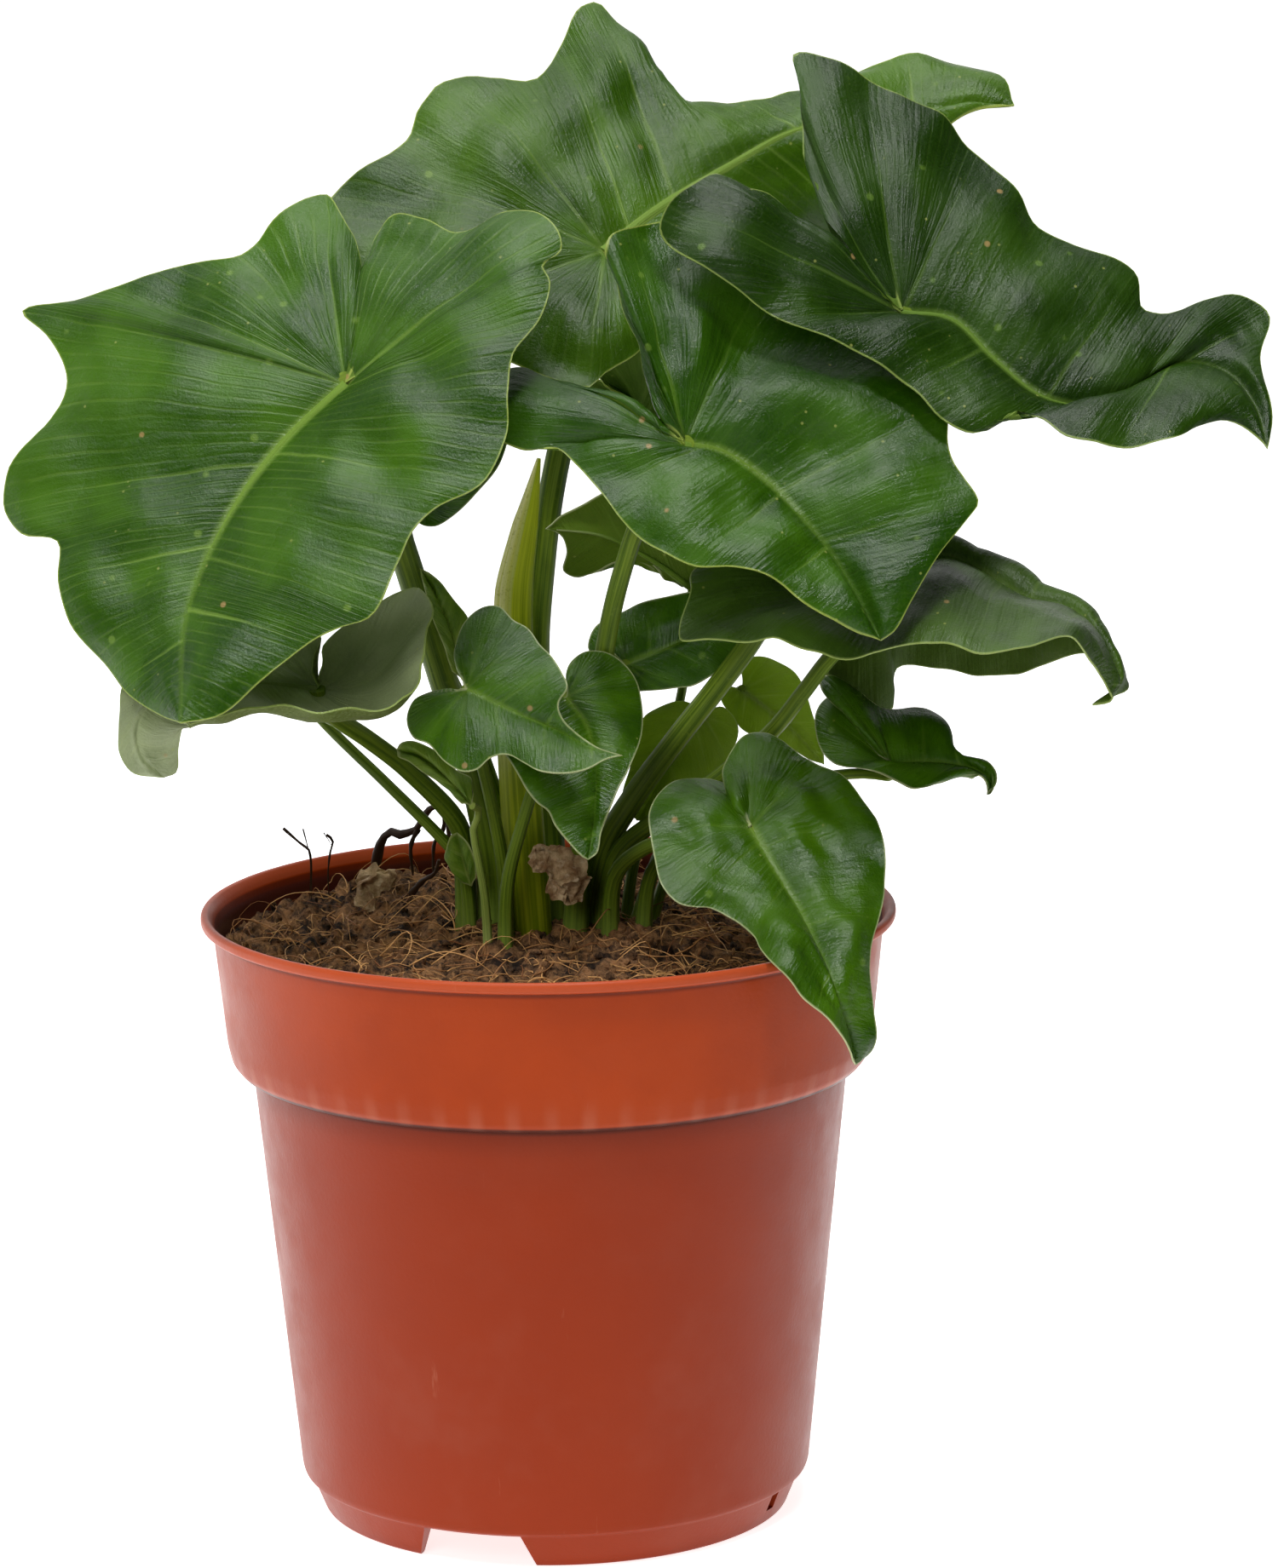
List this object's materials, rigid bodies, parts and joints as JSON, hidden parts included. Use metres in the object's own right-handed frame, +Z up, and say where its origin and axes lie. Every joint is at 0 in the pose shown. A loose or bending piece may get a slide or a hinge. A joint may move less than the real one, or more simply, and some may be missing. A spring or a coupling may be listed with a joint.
{
  "type": "potted atom philodendron",
  "caption": "Compact house plant with heart-shaped, wavy, glossy leaves on separate stalks rising from the soil of a round tapered plastic grower's pot with a deep collar.",
  "frame": {"origin": "middle of the whole plant's footprint on the ground, level with the bottom of the pot's foot", "axes": "+Z up along the pot's axis; -Y is the front of the plant, the side that the picture shows; +X is to the right as seen from the front, where the pot's axis stands 23 mm to the left of the origin"},
  "size_m": [0.305, 0.17, 0.3657],
  "materials": {
    "terracotta_plastic": "satin",
    "soil": "matte",
    "leaf_green": "satin",
    "leaf_dark": "satin",
    "leaf_fresh": "satin",
    "dry_leaf": "matte"
  },
  "bodies": {
    "root": {"pot": "terracotta_plastic", "soil": "soil", "upper_left_leaf": "leaf_green", "top_leaf": "leaf_green", "upper_right_leaf": "leaf_green", "centre_leaf": "leaf_green", "lower_right_leaf": "leaf_dark", "lower_left_leaf": "leaf_dark", "front_small_leaf": "leaf_green", "front_long_leaf": "leaf_green", "front_right_leaf": "leaf_green", "inner_right_leaf": "leaf_green", "inner_left_leaf": "leaf_green", "inner_low_leaf": "leaf_green", "inner_back_leaf": "leaf_green", "curled_leaf": "leaf_green", "back_left_leaf": "leaf_green", "back_centre_leaf": "leaf_green", "far_left_leaf": "leaf_green", "front_bract": "leaf_fresh", "left_bract": "leaf_fresh", "stalk_bract": "leaf_fresh", "new_leaf": "leaf_fresh", "dry_left": "dry_leaf", "dry_centre": "dry_leaf"}
  },
  "joints": []
}
